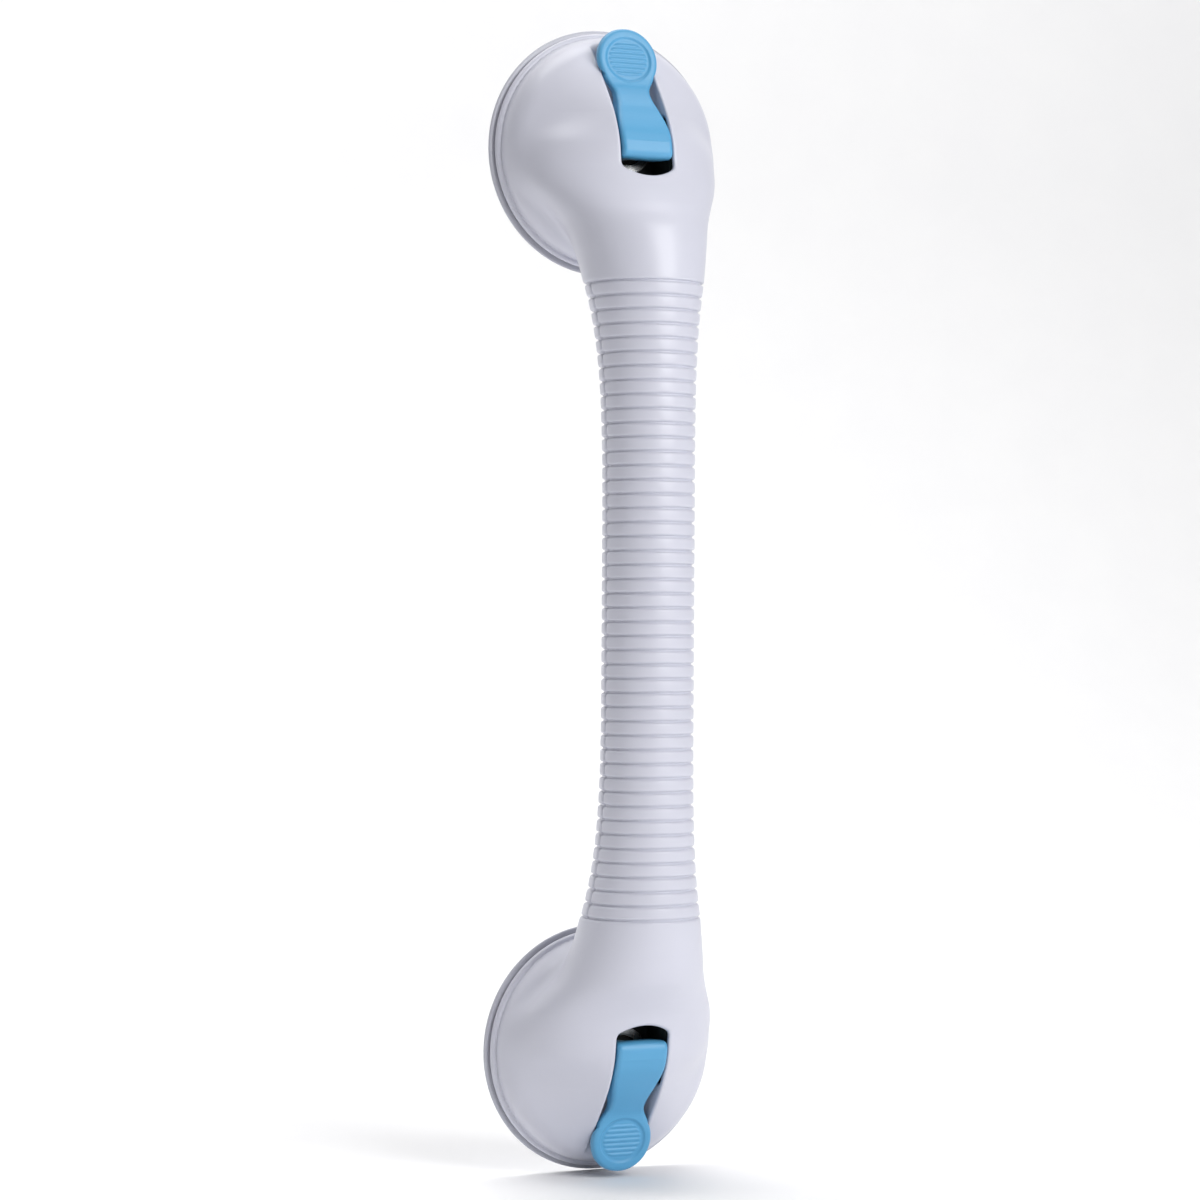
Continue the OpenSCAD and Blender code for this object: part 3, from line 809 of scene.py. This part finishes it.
def lever_field(sizes):
    side_outline = lever_side()
    start, stop = TOP[-1], np.array(TOP_END)
    slope = (stop[1] - start[1]) / (stop[0] - start[0])

    def field(points):
        x, u, h = points.T
        up = h - PIN_H
        half = through(SHANK, u)[0]
        shank = smooth_max((np.abs(x) - half) * 0.95, u - 30 * MM, 2 * MM)
        pad = np.hypot(x, u - PAD_U) - PAD_R
        root_end = np.hypot(x, u - NOSE[0] + NOSE[2] - ROOT_ARC) - ROOT_ARC
        plan = smooth_max(smooth_min(shank, pad, 3.5 * MM), root_end, 1.5 * MM)
        body = smooth_max(plan, outline_distance(side_outline, u, up), sizes.edge)
        # Finger recess with straight ridges inside a raised ring
        surface = start[1] + slope * (u - start[0])
        from_centre = np.hypot(x / 9.6, (u - PAD_U) / 8.9) * 9.2 - 9.2 * MM
        phase = (u - PAD_U) / sizes.ridge_pitch
        ridge = 0.5 + 0.5 * np.cos(2 * math.pi * phase)
        ridge *= np.clip((7.7 * MM - np.abs(u - PAD_U)) / (1 * MM), 0, 1)
        ridge *= np.clip((-from_centre - 1.1 * MM) / (0.9 * MM), 0, 1)
        floor = surface - sizes.recess + sizes.ridge_height * ridge
        recess = smooth_max(from_centre, floor - up, 0.9 * MM)
        body = smooth_max(body, -recess, 0.9 * MM)
        # Fork that straddles the plunger's head, and the pin's bore
        swing = np.minimum(np.hypot(u, up) - HEAD_ROOM, outline_distance(FORK, u, up))
        body = smooth_max(body, -np.maximum(np.abs(x) - FORK_HALF, swing), 0.4 * MM)
        # The pad's wings stand clear of the dome on both sides of the slot
        dome = np.maximum(dome_field(x, u, h) - 0.5 * MM, ROOT_HALF + 0.1 * MM - np.abs(x))
        body = smooth_max(body, -dome, 0.4 * MM)
        return np.maximum(body, 2.05 * MM - np.hypot(u, up))

    return field


# ---------------------------------------------------------------- cups, springs and screws

CUP_OUTLINE = MM * np.array([
    [0, 4.6], [14, 4.6], [24, 2.4], [30, 0.15], [38, 0], [50, 0], [50, 0.9], [49.4, 1.3], [45.8, 1.3],
    [32, 2], [24, 5], [17.6, 8.2], [17.6, 12.6], [12.2, 12.6], [12.2, 10.9], [16.2, 10.9], [16.2, 7.5],
    [0, 7.5]])
SPRING_LOW, SPRING_HIGH = 10.8 * MM, -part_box("upper_return_spring")[0].y
SPRING_R, SPRING_WIRE, SPRING_TURNS = 10 * MM, 1.4 * MM, 3.0


def spring_tree():
    """Node tree of a coil spring that stands off the wall from its lower end."""
    tree = bpy.data.node_groups.new("Coil spring", "GeometryNodeTree")
    tree.interface.new_socket("Geometry", in_out="INPUT", socket_type="NodeSocketGeometry")
    for name in ("Coil radius", "Wire radius", "Turns", "Rise"):
        tree.interface.new_socket(name, in_out="INPUT", socket_type="NodeSocketFloat")
    tree.interface.new_socket("Place", in_out="INPUT", socket_type="NodeSocketVector")
    tree.interface.new_socket("Finish", in_out="INPUT", socket_type="NodeSocketMaterial")
    tree.interface.new_socket("Geometry", in_out="OUTPUT", socket_type="NodeSocketGeometry")
    given = tree.nodes.new("NodeGroupInput").outputs
    coil = node(tree, "GeometryNodeCurveSpiral", {
        "Resolution": 40, "Rotations": given["Turns"], "Start Radius": given["Coil radius"],
        "End Radius": given["Coil radius"], "Height": given["Rise"]})
    section = node(
        tree, "GeometryNodeCurvePrimitiveCircle", {"Resolution": 14, "Radius": given["Wire radius"]})
    wire = node(tree, "GeometryNodeCurveToMesh", {"Curve": coil, "Profile Curve": section, "Fill Caps": True})
    stood = node(tree, "GeometryNodeTransform", {
        "Geometry": wire, "Translation": given["Place"], "Rotation": (math.pi / 2, 0, 0)})
    plain = node(tree, "GeometryNodeRealizeInstances", {"Geometry": stood})
    finished = node(tree, "GeometryNodeSetMaterial", {"Geometry": plain, "Material": given["Finish"]})
    node(tree, "NodeGroupOutput", (finished,))
    return tree


def screw_tree():
    """Node tree of a screw with a cross recess at each point of a mesh, its head towards the wall."""
    tree = bpy.data.node_groups.new("Cross recess screws", "GeometryNodeTree")
    tree.interface.new_socket("Geometry", in_out="INPUT", socket_type="NodeSocketGeometry")
    for name in ("Head radius", "Head height", "Shank radius", "Shank length"):
        tree.interface.new_socket(name, in_out="INPUT", socket_type="NodeSocketFloat")
    tree.interface.new_socket("Finish", in_out="INPUT", socket_type="NodeSocketMaterial")
    tree.interface.new_socket("Geometry", in_out="OUTPUT", socket_type="NodeSocketGeometry")
    given = tree.nodes.new("NodeGroupInput").outputs
    multiply = {"operation": "MULTIPLY"}
    head_radius, head_height = given["Head radius"], given["Head height"]
    rim = node(tree, "GeometryNodeMeshCylinder", {
        "Vertices": 32, "Radius": head_radius, "Depth": head_height}, fill_type="NGON")
    half_head = node(tree, "ShaderNodeMath", (head_height, 0.5), **multiply)
    raise_head = node(tree, "ShaderNodeCombineXYZ", {"Z": half_head})
    rim = node(tree, "GeometryNodeTransform", {"Geometry": rim, "Translation": raise_head})
    shank = node(tree, "GeometryNodeMeshCylinder", {
        "Vertices": 24, "Radius": given["Shank radius"], "Depth": given["Shank length"]}, fill_type="NGON")
    half_shank = node(tree, "ShaderNodeMath", (given["Shank length"], 0.5), **multiply)
    above_head = node(tree, "ShaderNodeMath", (half_shank, head_height), operation="ADD")
    above_head = node(tree, "ShaderNodeMath", (above_head, 0.2 * MM), operation="SUBTRACT")
    raise_shank = node(tree, "ShaderNodeCombineXYZ", {"Z": above_head})
    shank = node(tree, "GeometryNodeTransform", {"Geometry": shank, "Translation": raise_shank})
    blade_long = node(tree, "ShaderNodeMath", (head_radius, 1.15), **multiply)
    blade_wide = node(tree, "ShaderNodeMath", (head_radius, 0.24), **multiply)
    blade_size = node(tree, "ShaderNodeCombineXYZ", (blade_long, blade_wide, head_height))
    blade = node(tree, "GeometryNodeMeshCube", {"Size": blade_size})
    crossing = node(tree, "GeometryNodeTransform", {"Geometry": blade, "Rotation": (0, 0, math.pi / 2)})
    boolean = tree.nodes.new("GeometryNodeMeshBoolean")
    boolean.operation = "DIFFERENCE"
    boolean.solver = "EXACT"
    tree.links.new(rim, boolean.inputs["Mesh 1"])
    tree.links.new(blade, boolean.inputs["Mesh 2"])
    tree.links.new(crossing, boolean.inputs["Mesh 2"])
    joint = tree.nodes.new("GeometryNodeJoinGeometry")
    tree.links.new(shank, joint.inputs[0])
    tree.links.new(boolean.outputs["Mesh"], joint.inputs[0])
    screws = node(tree, "GeometryNodeInstanceOnPoints", {
        "Points": given["Geometry"], "Instance": joint.outputs[0], "Rotation": (math.pi / 2, 0, 0)})
    plain = node(tree, "GeometryNodeRealizeInstances", {"Geometry": screws})
    finished = node(tree, "GeometryNodeSetMaterial", {"Geometry": plain, "Material": given["Finish"]})
    node(tree, "NodeGroupOutput", (finished,))
    return tree


# ---------------------------------------------------------------- operators

class BuildStage(bpy.types.Operator):
    """Sets up the camera, the pale floor with its curved backdrop, and soft studio light"""

    bl_idname = "grab_bar.build_stage"
    bl_label = "Build stage"

    def execute(self, context):
        set_camera(context.scene)
        build_backdrop()
        set_lights(context.scene)
        return {"FINISHED"}


class BuildHousings(bpy.types.Operator):
    """Builds both end housings as one flowing skin of dome, neck, rim bead and lever slot"""

    bl_idname = "grab_bar.build_housings"
    bl_label = "Build housings"

    def execute(self, context):
        sizes = context.scene.grab_bar_housing
        step = 0.75 * MM
        low, high = (-52 * MM, -70 * MM, 0.4 * MM), (52 * MM, 52 * MM, 69 * MM)
        skin = skin_of(housing_field(sizes), low, high, step)
        for end in ENDS:
            mesh = skinned_end_mesh(end + "_housing_skin", end, skin)
            piece = new_piece(end + "_housing_shell", mesh, FINISHES["housing_abs"])
            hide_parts(end + "_housing")
            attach(piece, BODY)
        return {"FINISHED"}


class BuildGrip(bpy.types.Operator):
    """Builds the front and back halves of the banded grip"""

    bl_idname = "grab_bar.build_grip"
    bl_label = "Build grip"

    def execute(self, context):
        sizes = context.scene.grab_bar_grip
        tree = grip_tree()
        for name, side in (("front", 1.0), ("back", -1.0)):
            values = {
                "Length": 2 * GRIP_END, "Bands": sizes.bands, "Middle radius": sizes.middle_radius,
                "Flare": sizes.flare, "Middle height": sizes.middle_height, "Drop": sizes.drop,
                "Groove width": sizes.groove_width, "Groove depth": sizes.groove_depth, "Crown": sizes.crown,
                "Wall": sizes.wall, "Side": side, "Centre": MIDDLE, "Parting gap": PARTING_GAP,
                "Finish": FINISHES["grip_abs"]}
            mesh = grown_mesh("grip_" + name, tree, values)
            settle_normals(mesh, 0.002 * MM)
            if name == "back":
                mesh = cut_screw_holes(mesh, sizes)
            piece = new_piece(f"grip_{name}_half", mesh, FINISHES["grip_abs"], math.radians(50))
            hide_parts(f"grip_{name}_shell")
            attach(piece, BODY)
        return {"FINISHED"}


class BuildLevers(bpy.types.Operator):
    """Builds both cam levers with their ridged finger pads"""

    bl_idname = "grab_bar.build_levers"
    bl_label = "Build levers"

    def execute(self, context):
        step = 0.33 * MM
        field = lever_field(context.scene.grab_bar_lever)
        low, high = (-15 * MM, -14 * MM, PIN_H - 18 * MM), (15 * MM, 50 * MM, PIN_H + 12 * MM)
        skin = skin_of(field, low, high, step)
        for end in ENDS:
            mesh = skinned_end_mesh(end + "_lever_skin", end, skin)
            piece = new_piece(end + "_cam_lever", mesh, FINISHES["lever_abs"])
            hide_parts(end + "_lever")
            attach(piece, end + "_lever_body")
        return {"FINISHED"}


class BuildCups(bpy.types.Operator):
    """Builds both suction cups as turned skins, with their lips on the wall"""

    bl_idname = "grab_bar.build_cups"
    bl_label = "Build suction cups"

    def execute(self, context):
        outline = rounded_outline(CUP_OUTLINE, 0.8 * MM)
        points, faces = turned_skin(outline, 144)
        for end in ENDS:
            mesh = mesh_of(end + "_cup_skin", on_end(end, points), faces)
            settle_normals(mesh)
            piece = new_piece(end + "_cup", mesh, FINISHES["cup_rubber"], math.radians(40))
            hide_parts(end + "_suction_cup")
            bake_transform(piece)
        return {"FINISHED"}


class BuildSprings(bpy.types.Operator):
    """Builds both return springs, which stretch from the guide block to the plunger"""

    bl_idname = "grab_bar.build_springs"
    bl_label = "Build springs"

    def execute(self, context):
        tree = spring_tree()
        for end in ENDS:
            z = PITCH if end == "upper" else 0.0
            values = {
                "Coil radius": SPRING_R, "Wire radius": SPRING_WIRE / 2, "Turns": SPRING_TURNS,
                "Rise": SPRING_HIGH - SPRING_LOW - SPRING_WIRE,
                "Place": (0.0, -SPRING_LOW - SPRING_WIRE / 2, z), "Finish": FINISHES["spring_steel"]}
            mesh = grown_mesh(end + "_coil", tree, values)
            settle_normals(mesh)
            piece = new_piece(end + "_coil_spring", mesh, FINISHES["spring_steel"], math.radians(50))
            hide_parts(end + "_return_spring")
            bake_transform(piece)
        return {"FINISHED"}


class BuildScrews(bpy.types.Operator):
    """Builds the grip's screws and both base plates' screws with their cross recesses"""

    bl_idname = "grab_bar.build_screws"
    bl_label = "Build screws"

    def execute(self, context):
        sizes = context.scene.grab_bar_grip
        tree = screw_tree()
        grip_places = [(0, -back_of_grip(sizes, z), MIDDLE + z) for z in SCREW_Z]
        groups = [("grip_screws", "grip_screw_set", grip_places, (3.6, 1.8, 1.95, 27.0))]
        for end in ENDS:
            corners = np.array([[i * BOSS_PLACE, j * BOSS_PLACE, 2.1 * MM] for i in (-1, 1) for j in (-1, 1)])
            places = [tuple(p) for p in on_end(end, corners)]
            groups.append((end + "_base_screws", end + "_base_screw_set", places, (3.0, 1.1, 1.45, 9.9)))
        for cad_node, name, places, (head_r, head_h, shank_r, shank_l) in groups:
            seeds = bpy.data.meshes.new(name + "_places")
            seeds.from_pydata(places, [], [])
            values = {"Head radius": head_r * MM, "Head height": head_h * MM, "Shank radius": shank_r * MM,
                      "Shank length": shank_l * MM, "Finish": FINISHES["zinc_steel"]}
            mesh = grown_mesh(name, tree, values, seeds)
            piece = new_piece(name, mesh, FINISHES["zinc_steel"], math.radians(35))
            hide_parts(cad_node)
            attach(piece, BODY)
        return {"FINISHED"}


class FinishFixedParts(bpy.types.Operator):
    """Gives the part's own solids the finish of the material slot that each one names"""

    bl_idname = "grab_bar.finish_fixed_parts"
    bl_label = "Finish other parts"

    def execute(self, context):
        for part in frame["nodes"].values():
            own = slot_by_name(part)
            part.data.materials.clear()
            part.data.materials.append(FINISHES[own])
        return {"FINISHED"}


def slot_by_name(part):
    """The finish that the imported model's own material is named for."""
    for slot in part.material_slots:
        if slot.material and slot.material.name.split(".")[0] in FINISHES:
            return slot.material.name.split(".")[0]
    raise RuntimeError(f"{part.name} names no finish")


class GRABBAR_PT_builders(bpy.types.Panel):
    """Lists what builds the grab bar"""

    bl_label = "Grab bar"
    bl_idname = "GRABBAR_PT_builders"
    bl_space_type = "VIEW_3D"
    bl_region_type = "UI"
    bl_category = "Grab bar"

    def draw(self, context):
        for group in ("grab_bar_grip", "grab_bar_housing", "grab_bar_lever", "grab_bar_colours"):
            sizes = getattr(context.scene, group)
            box = self.layout.box()
            for name in sizes.bl_rna.properties.keys():
                if name not in ("rna_type", "name"):
                    box.prop(sizes, name)
        for builder in BUILDERS:
            self.layout.operator(builder.bl_idname)


# ---------------------------------------------------------------- stage

def set_camera(scene):
    yaw, pitch, roll = math.radians(24.27), math.radians(0.08), math.radians(0.32)
    forward = Vector((math.sin(yaw) * math.cos(pitch), math.cos(yaw) * math.cos(pitch), -math.sin(pitch)))
    right = Vector((math.cos(yaw), -math.sin(yaw), 0))
    up = right.cross(forward)
    turned_right = math.cos(roll) * right + math.sin(roll) * up
    turned_up = math.cos(roll) * up - math.sin(roll) * right
    data = bpy.data.cameras.new("camera")
    data.lens = 102.66
    data.sensor_width = 36
    data.shift_x = 0.00125
    camera = bpy.data.objects.new("camera", data)
    scene.collection.objects.link(camera)
    place = Vector((0, 0, MIDDLE)) - 1.4 * forward
    axes = Matrix((turned_right, turned_up, -forward)).transposed()
    camera.matrix_world = Matrix.Translation(place) @ axes.to_4x4()
    scene.camera = camera


def build_backdrop():
    """A pale floor that curves up into a backdrop behind the bar."""
    floor_z = CAD_BOX[0][2] - 0.3 * MM
    turn_y, turn_r = 0.75, 0.6
    outline = [(-3.0, floor_z)]
    for step in range(17):
        a = math.radians(90 * step / 16)
        outline.append((turn_y + turn_r * math.sin(a), floor_z + turn_r * (1 - math.cos(a))))
    outline.append((turn_y + turn_r, floor_z + 3.5))
    points = [(x, y, z) for y, z in outline for x in (-3.5, 3.5)]
    faces = [(2 * i, 2 * i + 1, 2 * i + 3, 2 * i + 2) for i in range(len(outline) - 1)]
    material, tree, shader, place = new_finish("paper backdrop matt white")
    # Seamless paper: flat and matt, with a fibre tone that is only just there
    fibre = node(tree, "ShaderNodeTexNoise", {"Vector": place, "Scale": 1 / (40 * MM), "Detail": 6.0})
    vary_colour(tree, shader, fibre, linear("#F7F7F8"), linear("#FCFCFC"))
    shader.inputs["Roughness"].default_value = 0.95
    shader.inputs["Specular IOR Level"].default_value = 0.1
    floor = new_piece("floor", mesh_of("floor", np.array(points), faces), material)


def set_lights(scene):
    """A large key light at the right and above, a weak fill at the left, and a bright room."""
    world = bpy.data.worlds.new("studio")
    scene.world = world
    world.use_nodes = True
    backdrop = next(n for n in world.node_tree.nodes if n.type == "BACKGROUND")
    backdrop.inputs["Color"].default_value = (1.0, 0.99, 1.0, 1.0)
    backdrop.inputs["Strength"].default_value = 0.2
    scene.view_settings.view_transform = "Standard"
    centre = Vector((0, 0, MIDDLE))
    lights = [("key", (0.62, -1.6, 0.95), 1.1, 1.3, 26.0), ("fill", (-1.6, -0.9, 0.5), 0.8, 1.4, 0.6),
              ("wash", (0.0, 0.5, 2.6), 2.6, 1.2, 44.0)]
    for name, place, width, height, power in lights:
        data = bpy.data.lights.new(name, "AREA")
        data.shape = "RECTANGLE"
        data.size = width
        data.size_y = height
        data.energy = power
        light = bpy.data.objects.new(name, data)
        scene.collection.objects.link(light)
        light.location = place
        target = centre if name != "wash" else Vector((0, 1.2, 0.8))
        light.rotation_euler = (target - light.location).to_track_quat("-Z", "Y").to_euler()


# ---------------------------------------------------------------- registration

BUILDERS = (BuildStage, BuildHousings, BuildGrip, BuildLevers, BuildCups, BuildSprings, BuildScrews,
            FinishFixedParts)
GROUPS = {"grab_bar_grip": GripSizes, "grab_bar_housing": HousingSizes, "grab_bar_lever": LeverSizes,
          "grab_bar_colours": FinishColours}


def register():
    for group in GROUPS.values():
        bpy.utils.register_class(group)
    for name, group in GROUPS.items():
        setattr(bpy.types.Scene, name, PointerProperty(type=group))
    for builder in BUILDERS:
        bpy.utils.register_class(builder)
    bpy.utils.register_class(GRABBAR_PT_builders)


def unregister():
    bpy.utils.unregister_class(GRABBAR_PT_builders)
    for builder in reversed(BUILDERS):
        bpy.utils.unregister_class(builder)
    for name in GROUPS:
        delattr(bpy.types.Scene, name)
    for group in GROUPS.values():
        bpy.utils.unregister_class(group)


def main():
    register()
    make_finishes(bpy.context.scene.grab_bar_colours)
    bpy.ops.grab_bar.build_stage()
    bpy.ops.grab_bar.build_housings()
    bpy.ops.grab_bar.build_grip()
    bpy.ops.grab_bar.build_levers()
    bpy.ops.grab_bar.build_cups()
    bpy.ops.grab_bar.build_springs()
    bpy.ops.grab_bar.build_screws()
    bpy.ops.grab_bar.finish_fixed_parts()


if __name__ == "__main__":
    main()
